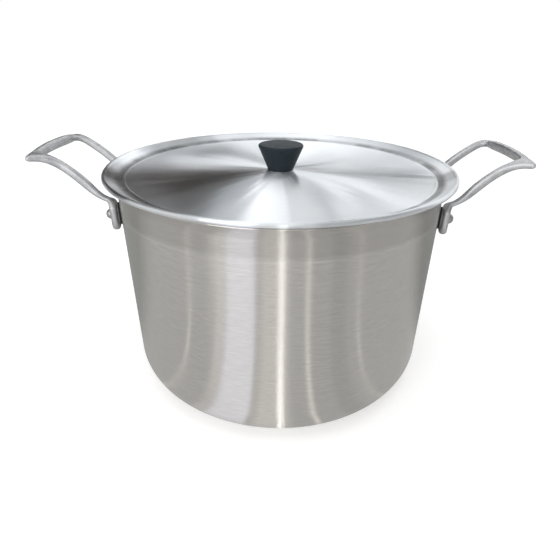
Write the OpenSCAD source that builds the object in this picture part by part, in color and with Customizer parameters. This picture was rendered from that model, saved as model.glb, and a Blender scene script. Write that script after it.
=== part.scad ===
// Aluminium stock pot with two riveted cast handles and a lift-off lid.
// The origin is the centre of the flat base, and X runs through both handles.

/* [Pot] */
// Outside diameter of the wall
pot_d = 320; // [260:1:400]
// Height from the base to the top of the rim
pot_h = 218; // [160:1:320]
// Thickness of the wall
wall_t = 2.5; // [1.5:0.1:4]
// Thickness of the base
base_t = 4; // [2:0.5:8]
// Outside radius where the wall turns into the base
base_corner_r = 36; // [12:1:60]
// How much thicker than the wall its rounded rim is
rim_swell = 0.7; // [0.3:0.1:3]

/* [Lid] */
// Thickness of the lid's sheet
lid_t = 1.5; // [1:0.1:2]
// Gap between the rim and the flange that rests on it
lid_gap = 0.3; // [0.2:0.1:1]
// How far the lid's outer edge stands out past the wall
lid_over = 11.5; // [9:0.5:20]
// Distance from the inside of the wall in to the edge of the lid's panel
panel_gap = 4.5; // [3:0.1:6]
// Rise of the panel from its edge to the knob
panel_rise = 0.2; // [0:0.1:12]
// Radius of the hollow curve that turns the panel up into the flange
flange_r = 12.7; // [11:0.1:16]
// Slope of the flange, in degrees
flange_slope = 30; // [26:1:40]
// Diameter of the flange's rolled edge
bead_d = 4.4; // [3.6:0.1:6]
// How far the rolled edge stands above the flange
bead_proud = 0.2; // [0.1:0.1:0.6]
// Width of the level land along the panel's edge
panel_land_w = 6; // [2:0.5:20]
// Width of the level land round the knob's foot
knob_land_w = 3; // [1:0.5:8]

/* [Knob] */
// Diameter of the knob's top
knob_d = 45; // [36:0.5:60]
// Diameter of the knob's foot
knob_foot_d = 26; // [20:0.5:34]
// Height of the knob
knob_h = 25; // [22:0.5:40]
// Radius of the knob's top edge
knob_edge_r = 1.8; // [1:0.1:5]
// Depth of the shallow dish in the knob's top
knob_dish = 0.7; // [0.2:0.1:2]
// Diameter of the brass insert moulded into the knob
insert_d = 10; // [8:0.5:14]
// Length of the brass insert
insert_h = 14; // [10:0.5:18]

/* [Knob screw] */
// Diameter of the screw
screw_d = 5; // [4:0.5:6]
// Length of the screw in the insert
screw_grip = 10; // [6:0.5:12]
// Depth of the insert's bore past the end of the screw
screw_relief = 1; // [0.5:0.5:1.5]
// Diameter of the screw's head
screw_head_d = 9.5; // [8:0.5:12]
// Height of the screw's head
screw_head_h = 3.2; // [2:0.1:4]
// Width of the slot in the screw's head
slot_w = 1.2; // [0.8:0.1:1.6]
// Depth of the slot in the screw's head
slot_depth = 1.5; // [0.8:0.1:1.6]
// Diameter of the washer under the lid
washer_d = 16; // [13:0.5:20]
// Thickness of the washer
washer_t = 1.2; // [0.8:0.1:2]

/* [Handles] */
// Distance between the middles of a handle's two arms
arm_spacing = 85; // [70:1:110]
// Width of an arm
arm_w = 7.2; // [6:0.1:14]
// Thickness of an arm at its thickest
arm_t = 8.4; // [6:0.1:12]
// Where an arm is thickest, as a share of the way from its root to the corner
arm_swell_at = 0.58; // [0.3:0.01:0.8]
// Thickness of an arm at its root
arm_root_t = 4.5; // [4:0.1:10]
// Thickness of an arm where it meets the corner of the grip
arm_end_t = 8.1; // [5:0.1:10]
// Reach of the grip's outer edge from the wall
handle_reach = 68; // [55:0.5:85]
// Height of the grip's corners above the rim
handle_over_rim = 20.5; // [10:0.5:36]
// Depth of the arm's root below the rim
arm_root_drop = 19.5; // [13:0.5:33]
// Slope of the arm where it leaves its foot, in degrees
arm_root_slope = 21; // [10:1:45]
// Slope of the arm at its steepest, in degrees
arm_rise_slope = 48; // [25:1:60]
// Distance from the arm's root out to its steepest point
arm_rise_run = 14; // [6:0.5:24]
// Slope of the grip, in degrees
grip_slope = -2.5; // [-15:0.5:25]
// Radius of the bend between a foot and its arm
arm_bend_r = 7; // [6:0.5:12]
// Width of the grip bar
grip_w = 6.4; // [5:0.1:14]
// Thickness of the grip bar
grip_t = 9.4; // [6:0.1:12]
// Rise of the grip bar from its corners to its middle
grip_arch = 2.7; // [0:0.1:6]
// Radius of the corners of the finger hole
hole_corner_r = 6; // [3:0.5:15]
// How far a corner tip stands out past its arm
tip_out = 9.8; // [2:0.1:14]
// Radius of a corner tip
tip_r = 2.5; // [1:0.1:4]
// Thickness of a corner at its tip
tip_t = 6.8; // [4:0.1:10]
// Direction in which an arm's edge runs out into the tip, in degrees
tip_angle = 32; // [20:1:50]
// Length over which an arm's edge flares out to the tip
tip_flare = 24; // [16:0.5:30]

/* [Handle feet] */
// Width of a foot
foot_w = 22; // [16:0.5:30]
// Thickness of a foot
foot_t = 8; // [5:0.1:10]
// Depth of a foot's lower end below the rim
foot_drop = 50; // [38:0.5:63]
// Height of the raised seat that holds the foot off the wall
seat_t = 2.5; // [1:0.1:4]
// Width of the raised seat
seat_w = 13; // [9:0.5:18]
// Height of the raised seat
seat_h = 22; // [16:0.5:26]

/* [Rivets] */
// Depth of the rivets below the rim
rivet_drop = 34; // [29:0.5:39]
// Diameter of a rivet's shank
rivet_d = 4.5; // [4:0.5:8]
// Diameter of a rivet's outer dome
dome_d = 10; // [8:0.5:14]
// Height of a rivet's outer dome
dome_h = 4.2; // [2:0.1:6]
// Diameter of a rivet's low head inside the pot
inner_head_d = 12; // [10:0.5:18]
// Height of a rivet's low head inside the pot
inner_head_h = 2; // [1:0.1:3]

/* [Fits] */
// Radial gap round a rivet's shank, and round the screw in its insert
fit_gap = 0.1; // [0.05:0.05:0.3]
// Radial gap round the screw in the lid and the washer
screw_gap = 0.2; // [0.1:0.05:0.4]
// Depth of the flat cut under a rivet's dome
spot_depth = 0.3; // [0.2:0.1:0.6]
// Width of the flat that shows round a rivet's dome
spot_margin = 0.5; // [0.2:0.1:1]

/* [Hidden] */
$fn = 96;
wall_fn = 360;

// Pot
pot_r = pot_d / 2;
pot_inner_r = pot_r - wall_t;
inner_corner_r = base_corner_r - wall_t;
rim_r = (wall_t + rim_swell) / 2;
rim_mid_r = pot_r - wall_t / 2;
rim_mid_z = pot_h - rim_r;

// Lid: the hollow curve rests over the rim, and the flange runs on from it to the rolled edge
panel_r = pot_inner_r - panel_gap;
rest_reach = flange_r + lid_t + lid_gap + rim_r;
flange_mid_z = rim_mid_z + sqrt(pow(rest_reach, 2) - pow(rim_mid_r - panel_r, 2));
panel_edge_z = flange_mid_z - flange_r;
flange_up = [-sin(flange_slope), cos(flange_slope)];
flange_start = [panel_r, flange_mid_z] - flange_r * flange_up;
bead_r = bead_d / 2;
bead_sink = bead_r - bead_proud;
flange_run = pot_r + lid_over - bead_r + bead_sink * flange_up[0] - flange_start[0];
flange_end = flange_start + flange_run * [1, tan(flange_slope)];
bead_mid = flange_end - bead_sink * flange_up;
seat_top_z = panel_edge_z + panel_rise;
knob_land_r = knob_foot_d / 2 + knob_land_w;
panel_cone_r = panel_r - panel_land_w;

// Knob: the side runs from the foot's edge to a tangent on the rounded top edge
knob_foot_r = knob_foot_d / 2;
knob_edge_mid = [knob_d / 2 - knob_edge_r, knob_h - knob_edge_r];
knob_side = knob_edge_mid - [knob_foot_r, 0];
knob_side_angle = atan2(knob_side[1], knob_side[0]) - asin(knob_edge_r / norm(knob_side));
knob_tangent = knob_edge_mid + knob_edge_r * [sin(knob_side_angle), -cos(knob_side_angle)];
dish_d = 2 * knob_edge_mid[0];
dish_r = cap_r(dish_d, knob_dish);

// Handle: from the foot's bend an arm steepens on a parabola, then arches on a cubic to the grip's edge
arm_y = arm_spacing / 2;
foot_mid_r = pot_r + seat_t + foot_t / 2;
foot_angle = asin(arm_y / foot_mid_r);
foot_x = foot_mid_r * cos(foot_angle);
foot_z = pot_h - foot_drop;
bend_turn = 90 - arm_root_slope;
root_x = foot_x + arm_bend_r * (1 - cos(bend_turn));
root_z = pot_h - arm_root_drop;
bend_z = root_z - arm_bend_r * sin(bend_turn);
rise_x = root_x + arm_rise_run;
rise_z = root_z + arm_rise_run * (tan(arm_root_slope) + tan(arm_rise_slope)) / 2;
edge_x = pot_r + handle_reach;
edge_z = pot_h + handle_over_rim;
arch_run = edge_x - rise_x;
hole_edge_x = edge_x - grip_w;
inner_y = arm_y - arm_w / 2;
outer_y = arm_y + arm_w / 2;
tip_mid = [edge_x - tip_r, outer_y + tip_out - tip_r];
flare_end = tip_mid + tip_r * [-sin(tip_angle), cos(tip_angle)];
flare_turn = [flare_end[0] - (flare_end[1] - outer_y) / tan(tip_angle), outer_y];
flare_start = [flare_end[0] - tip_flare, outer_y];

// Rivets: the plane under their domes, and a length that passes both the wall and a foot
rivet_z = pot_h - rivet_drop;
dome_seat_r = pot_r + seat_t + foot_t - spot_depth;
dome_r = cap_r(dome_d, dome_h);
inner_head_r = cap_r(inner_head_d, inner_head_h);
bore_l = 4 * (wall_t + seat_t + foot_t);

// Handle: points round one section, and how square the section is
ring_n = 16;
squareness = 2.6;

// Helpers for profiles

function dir(a) = [cos(a), sin(a)];
// Radius of the ball whose cap has this diameter and height
function cap_r(d, h) = (d * d / 4 + h * h) / (2 * h);
function mix(a, b, t) = a + (b - a) * t;
function ease(t) = let (c = min(max(t, 0), 1)) c * c * (3 - 2 * c);

// Half section of a round vessel with a rounded lower corner, closed at the axis
module vessel_half(r, corner, bottom, top) {
    translate([0, bottom]) square([r - corner, top - bottom]);
    translate([0, bottom + corner]) square([r, top - bottom - corner]);
    translate([r - corner, bottom + corner]) circle(r = corner);
}

// Pot
module pot_profile() {
    intersection() {
        difference() {
            vessel_half(pot_r, base_corner_r, 0, rim_mid_z);
            vessel_half(pot_inner_r, inner_corner_r, base_t, pot_h);
        }
        square([pot_d, pot_h]);
    }
    translate([rim_mid_r, rim_mid_z]) circle(r = rim_r);
}

module pot_body() {
    color("silver") difference() {
        rotate_extrude() pot_profile();
        for (side = [0, 180]) rotate(side) at_feet() radial(pot_r) rivet_bore();
    }
}

// Places on the wall where a handle's two feet are riveted
module at_feet() {
    for (a = [-foot_angle, foot_angle]) rotate(a) translate([0, 0, rivet_z]) children();
}

// Turns +Z outwards along the radius
module radial(r) {
    translate([r, 0, 0]) rotate([0, 90, 0]) children();
}

module rivet_bore() {
    cylinder(d = rivet_d + 2 * fit_gap, h = bore_l, center = true);
}

// Handle casting

// Height and slope of the arm's middle
function arm_z(x) = x < rise_x ? rise_curve(x - root_x) : arch_curve((x - rise_x) / arch_run);
function arm_slope(x) = atan(x < rise_x ? rise_tangent(x - root_x) : arch_tangent((x - rise_x) / arch_run));
function rise_curve(u) =
    root_z + u * tan(arm_root_slope) + u * u / arm_rise_run * (tan(arm_rise_slope) - tan(arm_root_slope)) / 2;
function rise_tangent(u) = mix(tan(arm_root_slope), tan(arm_rise_slope), u / arm_rise_run);
function arch_curve(t) =
    (1 + t * t * (2 * t - 3)) * rise_z + t * t * (3 - 2 * t) * edge_z
    + arch_run * t * (1 - t) * ((1 - t) * tan(arm_rise_slope) - t * tan(grip_slope));
function arch_tangent(t) =
    6 * t * (1 - t) * (edge_z - rise_z) / arch_run
    + (1 - t) * (1 - 3 * t) * tan(arm_rise_slope) + t * (3 * t - 2) * tan(grip_slope);

// One section: points round a middle, with half a width and half a thickness as vectors
function soften(v) = sign(v) * pow(abs(v), 2 / squareness);
function section(mid, half_w, half_t) =
    [for (i = [0 : ring_n - 1])
        let (a = 360 * i / ring_n)
        mid + half_w * soften(cos(a)) + half_t * soften(sin(a))];

// A section of the foot and its bend, turned to face the wall by a share of the foot's angle
function foot_section(x, z, lean, share, w, t) =
    let (turn = foot_angle * share)
    section([x, arm_y, z],
            w / 2 * [-sin(turn), cos(turn), 0],
            t / 2 * [-cos(lean) * cos(turn), -cos(lean) * sin(turn), sin(lean)]);

// A section between a point on the finger hole's edge and one on the outer edge
function on_frame(p) = [p[0], p[1], arm_z(p[0]) + arch(p)];
function arch(p) =
    let (along = p[1] / tip_mid[1], out = ease((p[0] - flare_start[0]) / (hole_edge_x - flare_start[0])))
    grip_arch * out * (1 - along * along);
function frame_section(hole, outer, t) =
    let (slope = arm_slope((hole[0] + outer[0]) / 2))
    let (a = on_frame(hole), b = on_frame(outer))
    section((a + b) / 2, (b - a) / 2, t / 2 * [-sin(slope), 0, cos(slope)]);

// Lower end of the foot, rounded both ways
end_n = 7;
end_sections = [for (i = [1 : end_n])
    let (a = 90 * i / end_n)
    let (h = foot_w / 2 * (1 - cos(a)))
    let (back = max(1 - 2 * h / foot_t, 0))
    foot_section(foot_x, foot_z + h, 0, 1, foot_w * sin(a), foot_t * sqrt(1 - back * back))];

// Upright foot, which narrows to the arm as it turns outwards
foot_straight = bend_z - foot_z - foot_w / 2;
foot_sections = [for (i = [1 : 2])
    foot_section(foot_x, foot_z + foot_w / 2 + foot_straight * i / 2, 0, 1, foot_w, foot_t)];
bend_n = 7;
bend_sections = [for (i = [1 : bend_n])
    let (turn = bend_turn * i / bend_n, s = ease(i / bend_n))
    foot_section(foot_x + arm_bend_r * (1 - cos(turn)), bend_z + arm_bend_r * sin(turn), turn,
                 1 - s, mix(foot_w, arm_w, s), mix(foot_t, arm_root_t, s))];

// Arm up to where its outer edge starts to flare, with its thickness swelling on the way
function arm_thickness(s) =
    s < arm_swell_at ? mix(arm_root_t, arm_t, ease(s / arm_swell_at))
                     : mix(arm_t, arm_end_t, ease((s - arm_swell_at) / (1 - arm_swell_at)));
arm_n = 9;
arm_sections = [for (i = [1 : arm_n])
    let (x = mix(root_x, flare_start[0], i / arm_n))
    frame_section([x, inner_y], [x, outer_y], arm_thickness(i / arm_n))];

// Corner: the outer edge flares out, turns round the tip and comes back along the grip,
// and the hole's corner turns by a third of its arc in each of these
function hole_point(turn) = [hole_edge_x, inner_y] - hole_corner_r * [1 - sin(turn), 1 - cos(turn)];
hole_turn = 90 / 3;
flare_n = 7;
// Share of the flare over which the hole's edge is still straight
flare_share = 0.8;
corner_flare = [for (i = [1 : flare_n])
    let (t = i / flare_n)
    let (outer = mix(mix(flare_start, flare_turn, t), mix(flare_turn, flare_end, t), t))
    let (late = max(t - flare_share, 0) / (1 - flare_share))
    let (hole = late > 0 ? hole_point(hole_turn * late)
                         : mix([flare_start[0], inner_y], hole_point(0), t / flare_share))
    frame_section(hole, outer, mix(arm_end_t, tip_t, ease(t)))];
tip_n = 6;
corner_tip = [for (i = [1 : tip_n])
    let (t = i / tip_n)
    frame_section(hole_point(hole_turn * (1 + t)),
                  tip_mid + tip_r * dir((90 + tip_angle) * (1 - t)), tip_t)];
back_n = 4;
back_end_y = inner_y - hole_corner_r;
// The thickness grows from the tip to a point halfway along the straight bar
function grip_thickness(y) = mix(tip_t, grip_t, ease((tip_mid[1] - y) / (tip_mid[1] - back_end_y / 2)));
corner_back = [for (i = [1 : back_n])
    let (t = i / back_n)
    let (y = mix(tip_mid[1], back_end_y, t))
    frame_section(hole_point(hole_turn * (2 + t)), [edge_x, y], grip_thickness(y))];

// Grip bar to its middle
grip_n = 4;
grip_sections = [for (i = [1 : grip_n])
    let (y = back_end_y * (1 - i / grip_n))
    frame_section([hole_edge_x, y], [edge_x, y], grip_thickness(y))];

half_loop = concat(end_sections, foot_sections, bend_sections, arm_sections,
                   corner_flare, corner_tip, corner_back, grip_sections);
half_n = len(half_loop);
function mirror_y(ring) = [for (p = ring) [p[0], -p[1], p[2]]];
loop = concat(half_loop, [for (k = [half_n - 2 : -1 : 0]) mirror_y(half_loop[k])]);
loop_n = len(loop);
loop_points = [for (ring = loop) for (p = ring) p];
loop_sides = [for (k = [0 : loop_n - 2]) for (i = [0 : ring_n - 1])
    let (a = k * ring_n + i, b = k * ring_n + (i + 1) % ring_n)
    each [[a, a + ring_n, b], [b, a + ring_n, b + ring_n]]];
loop_ends = [[for (i = [0 : ring_n - 1]) i],
             [for (i = [ring_n - 1 : -1 : 0]) (loop_n - 1) * ring_n + i]];

// Raised seat on the back of a foot
module foot_seat() {
    rise = seat_h - seat_w;
    linear_extrude(seat_t + foot_t / 2) union() {
        square([rise, seat_w], center = true);
        for (end = [-rise / 2, rise / 2]) translate([end, 0]) circle(d = seat_w);
    }
}

module handle() {
    difference() {
        union() {
            polyhedron(loop_points, concat(loop_sides, loop_ends), convexity = 8);
            at_feet() radial(pot_r - seat_t) foot_seat();
        }
        cylinder(r = pot_r, h = pot_h, $fn = wall_fn);
        at_feet() radial(pot_r) rivet_bore();
        at_feet() radial(dome_seat_r) cylinder(d = dome_d + 2 * spot_margin, h = foot_t);
    }
}

module right_handle() {
    color("gainsboro") handle();
}

module left_handle() {
    color("gainsboro") mirror([1, 0, 0]) handle();
}

// Rivets: a dome outside, a shank and a low head against the inside of the wall
// Cap of a ball standing on the plane z = 0
module ball_cap(ball_r, h) {
    rotate_extrude() intersection() {
        translate([0, h - ball_r]) circle(r = ball_r);
        square([ball_r, h]);
    }
}

module rivet() {
    radial(dome_seat_r) ball_cap(dome_r, dome_h);
    shank_r = pot_inner_r - inner_head_h / 2;
    radial(shank_r) cylinder(d = rivet_d, h = dome_seat_r - shank_r);
    intersection() {
        radial(pot_inner_r - inner_head_h + inner_head_r) sphere(r = inner_head_r);
        translate([0, 0, -pot_h]) cylinder(r = pot_inner_r, h = 2 * pot_h, $fn = wall_fn);
    }
}

module right_handle_rivets() {
    color("lightgray") at_feet() rivet();
}

module left_handle_rivets() {
    color("lightgray") rotate(180) at_feet() rivet();
}

// Lid

// Half section of all that lies below the sheet's upper face when that is lowered by t
module below_sheet(t) {
    low = panel_edge_z - 3 * lid_t - t;
    start = flange_start - t * flange_up;
    end = flange_end - t * flange_up;
    polygon([[0, low], [0, seat_top_z - t], [knob_land_r, seat_top_z - t],
             [panel_cone_r, panel_edge_z - t], [start[0], panel_edge_z - t], [start[0], low]]);
    difference() {
        polygon([[panel_r, low], [panel_r, flange_mid_z],
                 [panel_r + (flange_mid_z - low) * tan(flange_slope), low]]);
        translate([panel_r, flange_mid_z]) circle(r = flange_r + t);
    }
    back = start - flange_r / 4 * dir(flange_slope);
    polygon([[back[0], low], back, end, [end[0], low]]);
}

module sheet_profile() {
    difference() {
        below_sheet(0);
        below_sheet(lid_t);
    }
}

module lid() {
    color("whitesmoke") difference() {
        union() {
            rotate_extrude() sheet_profile();
            rotate_extrude() translate(bead_mid) circle(r = bead_r);
        }
        translate([0, 0, seat_top_z]) cylinder(d = screw_d + 2 * screw_gap, h = 4 * lid_t, center = true);
    }
}

// Knob
module knob_profile() {
    difference() {
        union() {
            polygon([[0, 0], [knob_foot_r, 0], knob_tangent, knob_edge_mid, [0, knob_edge_mid[1]]]);
            translate([0, knob_edge_mid[1]]) square([knob_edge_mid[0], knob_edge_r]);
            translate(knob_edge_mid) circle(r = knob_edge_r);
        }
        translate([0, knob_h - knob_dish + dish_r]) circle(r = dish_r);
    }
}

module knob() {
    color("#2b2f35") translate([0, 0, seat_top_z]) difference() {
        rotate_extrude() intersection() {
            knob_profile();
            square([knob_d, knob_h]);
        }
        cylinder(d = insert_d, h = 2 * insert_h, center = true);
    }
}

module knob_insert() {
    color("goldenrod") translate([0, 0, seat_top_z]) difference() {
        cylinder(d = insert_d, h = insert_h);
        cylinder(d = screw_d + 2 * fit_gap, h = 2 * (screw_grip + screw_relief), center = true);
    }
}

module knob_washer() {
    color("darkgray") translate([0, 0, seat_top_z - lid_t - washer_t]) difference() {
        cylinder(d = washer_d, h = washer_t);
        cylinder(d = screw_d + 2 * screw_gap, h = 4 * washer_t, center = true);
    }
}

module knob_screw() {
    head_r = cap_r(screw_head_d, screw_head_h);
    color("darkgray") translate([0, 0, seat_top_z - lid_t - washer_t]) difference() {
        union() {
            mirror([0, 0, 1]) ball_cap(head_r, screw_head_h);
            cylinder(d = screw_d, h = washer_t + lid_t + screw_grip);
        }
        translate([0, 0, -screw_head_h]) cube([2 * screw_head_d, slot_w, 2 * slot_depth], center = true);
    }
}

pot_body();
left_handle();
right_handle();
left_handle_rivets();
right_handle_rivets();
lid();
knob();
knob_insert();
knob_screw();
knob_washer();
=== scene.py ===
"""Looks of an aluminium stock pot: brushed wall, spun lid, cast handles, rivets and a black knob.

Lengths are in millimetres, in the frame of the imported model, until a mesh is made.
"""

import math

import bpy
import numpy as np
from mathutils import Matrix, Vector, noise


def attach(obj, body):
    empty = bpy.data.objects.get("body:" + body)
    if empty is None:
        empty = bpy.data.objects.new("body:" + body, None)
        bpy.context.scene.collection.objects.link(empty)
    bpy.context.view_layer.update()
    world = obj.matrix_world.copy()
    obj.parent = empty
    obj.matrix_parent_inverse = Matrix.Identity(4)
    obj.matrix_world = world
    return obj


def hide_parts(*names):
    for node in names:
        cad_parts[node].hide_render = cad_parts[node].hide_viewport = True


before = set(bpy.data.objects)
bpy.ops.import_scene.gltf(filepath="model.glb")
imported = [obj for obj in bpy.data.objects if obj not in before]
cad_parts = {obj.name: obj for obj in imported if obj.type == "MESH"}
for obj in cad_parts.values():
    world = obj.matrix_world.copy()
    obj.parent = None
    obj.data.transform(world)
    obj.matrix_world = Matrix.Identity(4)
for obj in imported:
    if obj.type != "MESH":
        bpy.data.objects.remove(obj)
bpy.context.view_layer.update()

MM = 0.001

# Pot
POT_R = 160.0
POT_H = 218.0
WALL_T = 2.5
BASE_T = 4.0
BASE_CORNER_R = 36.0
RIM_SWELL = 0.7
# Band below the rim, darkened with painted shade from the lid: its lower end, fade, share of shade, and a
# faint light line there
BAND_Z = 191.0
BAND_FADE = 5.0
BAND_SHADE = 0.32
BAND_LINE_FADE = (0.2, 1.1)
BAND_LINE_LIGHT = 0.34

# Lid
LID_T = 1.5
LID_GAP = 0.3
LID_OVER = 11.48
PANEL_GAP = 4.5
PANEL_RISE = 0.2
PANEL_LAND_W = 6.0
KNOB_LAND_W = 3.0
FLANGE_R = 12.7
FLANGE_SLOPE = math.radians(30)
BEAD_R = 2.2
BEAD_PROUD = 0.2
SCREW_HOLE_R = 2.7
ROLL_MARK_W = 1.8
ROLL_MARK_H = 0.25
# Width of the lid's hollow that is darkened with painted shade, and how that shade fades in and out
HOLLOW_W = 9.0
HOLLOW_FADES = (1.5, 4.0)

# Knob
KNOB_D = 45.0
KNOB_FOOT_D = 26.0
KNOB_H = 25.0
KNOB_EDGE_R = 1.8
KNOB_FOOT_EDGE_R = 0.5
KNOB_DISH = 0.7
INSERT_R = 5.0
INSERT_H = 14.0

# Handle
ARM_SPACING = 85.0
ARM_W = 7.2
ARM_T = 8.4
ARM_SWELL_AT = 0.58
ARM_ROOT_T = 4.5
ARM_END_T = 8.1
HANDLE_REACH = 68.0
HANDLE_OVER_RIM = 20.5
ARM_ROOT_DROP = 19.5
ARM_ROOT_SLOPE = math.radians(21)
ARM_RISE_SLOPE = math.radians(48)
ARM_RISE_RUN = 14.0
GRIP_SLOPE = math.radians(-2.5)
ARM_BEND_R = 7.0
GRIP_W = 6.4
GRIP_T = 9.4
GRIP_ARCH = 2.7
HOLE_CORNER_R = 6.0
TIP_OUT = 9.8
TIP_R = 2.5
TIP_T = 6.8
TIP_ANGLE = math.radians(32)
TIP_FLARE = 24.0
FOOT_W = 22.0
FOOT_T = 8.0
FOOT_DROP = 50.0
SEAT_T = 2.5
SEAT_W = 13.0
SEAT_H = 22.0
SQUARENESS = 2.6
FLARE_SHARE = 0.8
# Distances off the seat's face over which the painted shade in the gap at the wall fades out
WALL_GAP_SHADE_FADE = (-0.4, 0.8)
CAST_SINK = (0.06, 0.04)
CAST_WAVES = 0.12

# Rivets
RIVET_DROP = 34.0
RIVET_R = 2.25
DOME_R = 5.0
DOME_H = 4.2
INNER_HEAD_R = 6.0
INNER_HEAD_H = 2.0
SPOT_DEPTH = 0.3
SPOT_MARGIN = 0.5

# Camera for a square picture, with its place in metres
CAMERA_AT = (0.0010, -0.4412, 0.3307)
CAMERA_PITCH = math.radians(28.67)
CAMERA_ROLL = math.radians(0.83)
CAMERA_LENS = 27.68
CAMERA_SENSOR = 36.0
CAMERA_NEAR = 0.01

# Cards and mats that only show in reflections
CARD_DISTANCE = 3000.0
FAN_DISTANCE = 2800.0
FRONT_DISTANCE = 2600.0
REAR_DISTANCE = 2900.0
CARD_SHARES = np.linspace(0, 1, 41)
MAT_INNER_R = 100.0
MAT_Z = -0.18
MAT_LIFT = 200.0
STRIP_LIFT = 0.6
WALL_TILTS = (-0.6, 0.8)
LID_TILTS = (-0.9, -0.02)
DARK_SHADE = (0.05, 0.045, 0.042)

# Floor, with what it lacks to look white and the distances in metres between which that grows
FLOOR_R = 9000.0
FLOOR_Z = -0.2
FLOOR_LIFT = (0.42, 0.64)
FLOOR_LIFT_R = (0.35, 2.0)

# Share of the world's white that lights the object, and the lamps' distance in metres
WORLD_LIGHT = 0.4
LAMP_DISTANCE = 2.2

# Steps round turned pieces, round a section of a handle and round the floor
TURN_STEPS = 320
KNOB_STEPS = 160
RIVET_STEPS = 64
SECTION_STEPS = 48
FLOOR_STEPS = 96

# Steeper edges than this stay sharp, and shorter lengths than this count as none
SHARP_ANGLE = math.radians(38)
TINY = 1e-4

# Colour sockets of a Mix node, and the quarter turn that lays highlights across the grain
MIX_A, MIX_B, MIX_RESULT = 6, 7, 2
GRAIN_TURN = 0.25


def add_camera():
    """The photograph's viewpoint: in front of the pot, a little above its lid."""
    forward = Vector((0, math.cos(CAMERA_PITCH), -math.sin(CAMERA_PITCH)))
    down = Vector((0, -math.sin(CAMERA_PITCH), -math.cos(CAMERA_PITCH)))
    level = Vector((1, 0, 0))
    right = math.cos(CAMERA_ROLL) * level - math.sin(CAMERA_ROLL) * down
    down = math.sin(CAMERA_ROLL) * level + math.cos(CAMERA_ROLL) * down
    data = bpy.data.cameras.new("camera")
    data.sensor_width = CAMERA_SENSOR
    data.lens = CAMERA_LENS
    data.clip_start = CAMERA_NEAR
    camera = bpy.data.objects.new("camera", data)
    turn = Matrix((right, -down, -forward)).transposed().to_4x4()
    camera.matrix_world = Matrix.Translation(CAMERA_AT) @ turn
    bpy.context.scene.collection.objects.link(camera)
    bpy.context.scene.camera = camera


# Shader graphs


class Graph:
    """A material with one Principled shader, and short names for the nodes that feed it."""

    def __init__(self, name):
        self.material = bpy.data.materials.new(name)
        self.material.use_nodes = True
        self.tree = self.material.node_tree
        self.tree.nodes.clear()
        self.shader = self.node("ShaderNodeBsdfPrincipled")
        output = self.node("ShaderNodeOutputMaterial")
        self.link(self.shader.outputs[0], output.inputs["Surface"])
        self.place = self.node("ShaderNodeTexCoord").outputs["Object"]

    def node(self, kind, **settings):
        made = self.tree.nodes.new(kind)
        for key, value in settings.items():
            setattr(made, key, value)
        return made

    def link(self, source, target):
        self.tree.links.new(source, target)

    def feed(self, target, value):
        """Links a socket, or sets a plain value."""
        if isinstance(value, bpy.types.NodeSocket):
            self.link(value, target)
        else:
            target.default_value = value

    def math(self, operation, a, b=0.0):
        made = self.node("ShaderNodeMath", operation=operation)
        self.feed(made.inputs[0], a)
        self.feed(made.inputs[1], b)
        return made.outputs[0]

    def scaled(self, vector, scale):
        made = self.node("ShaderNodeVectorMath", operation="MULTIPLY")
        self.feed(made.inputs[0], vector)
        made.inputs[1].default_value = scale
        return made.outputs[0]

    def noise(self, vector, scale, detail=2.0, roughness=0.5):
        made = self.node("ShaderNodeTexNoise")
        self.feed(made.inputs["Vector"], vector)
        made.inputs["Scale"].default_value = scale
        made.inputs["Detail"].default_value = detail
        made.inputs["Roughness"].default_value = roughness
        return made.outputs["Fac"]

    def pits(self, vector, scale):
        made = self.node("ShaderNodeTexVoronoi")
        self.feed(made.inputs["Vector"], vector)
        made.inputs["Scale"].default_value = scale
        return made.outputs["Distance"]

    def span(self, value, low, high, to_low, to_high):
        """Maps a range of values to another, and holds its ends."""
        made = self.node("ShaderNodeMapRange")
        self.feed(made.inputs["Value"], value)
        for name, number in (("From Min", low), ("From Max", high), ("To Min", to_low), ("To Max", to_high)):
            made.inputs[name].default_value = number
        return made.outputs["Result"]

    def blend(self, share, a, b):
        """A colour between two others."""
        made = self.node("ShaderNodeMix", data_type="RGBA")
        self.feed(made.inputs["Factor"], share)
        self.feed(made.inputs[MIX_A], (*a, 1) if isinstance(a, tuple) else a)
        self.feed(made.inputs[MIX_B], (*b, 1) if isinstance(b, tuple) else b)
        return made.outputs[MIX_RESULT]

    def bump(self, height, distance, below=None):
        made = self.node("ShaderNodeBump")
        made.inputs["Distance"].default_value = distance
        self.feed(made.inputs["Height"], height)
        if below is not None:
            self.link(below, made.inputs["Normal"])
        return made.outputs["Normal"]

    def height(self):
        made = self.node("ShaderNodeSeparateXYZ")
        self.link(self.place, made.inputs[0])
        return made.outputs["Z"]

    def off_axis(self):
        """Distance from the pot's axis."""
        made = self.node("ShaderNodeVectorMath", operation="LENGTH")
        self.link(self.scaled(self.place, (1, 1, 0)), made.inputs[0])
        return made.outputs["Value"]

    def round_axis(self, turns_share):
        """Coordinates on a turned piece: a small circle for the turn, and the way along its outline."""
        flat = self.scaled(self.place, (1, 1, 0))
        unit = self.node("ShaderNodeVectorMath", operation="NORMALIZE")
        self.link(flat, unit.inputs[0])
        along = self.node("ShaderNodeAttribute", attribute_name="along")
        lift = self.node("ShaderNodeCombineXYZ")
        self.link(along.outputs["Fac"], lift.inputs["Z"])
        both = self.node("ShaderNodeVectorMath", operation="ADD")
        self.link(self.scaled(unit.outputs[0], (turns_share, turns_share, 0)), both.inputs[0])
        self.link(lift.outputs[0], both.inputs[1])
        return both.outputs[0]

    def grain_round_axis(self):
        """Stretches highlights across grooves that run round the axis."""
        tangent = self.node("ShaderNodeTangent", direction_type="RADIAL", axis="Z")
        self.link(tangent.outputs[0], self.shader.inputs["Tangent"])
        self.shader.inputs["Anisotropic Rotation"].default_value = GRAIN_TURN

    def set(self, **values):
        for name, value in values.items():
            self.feed(self.shader.inputs[name.replace("_", " ")], value)


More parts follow.
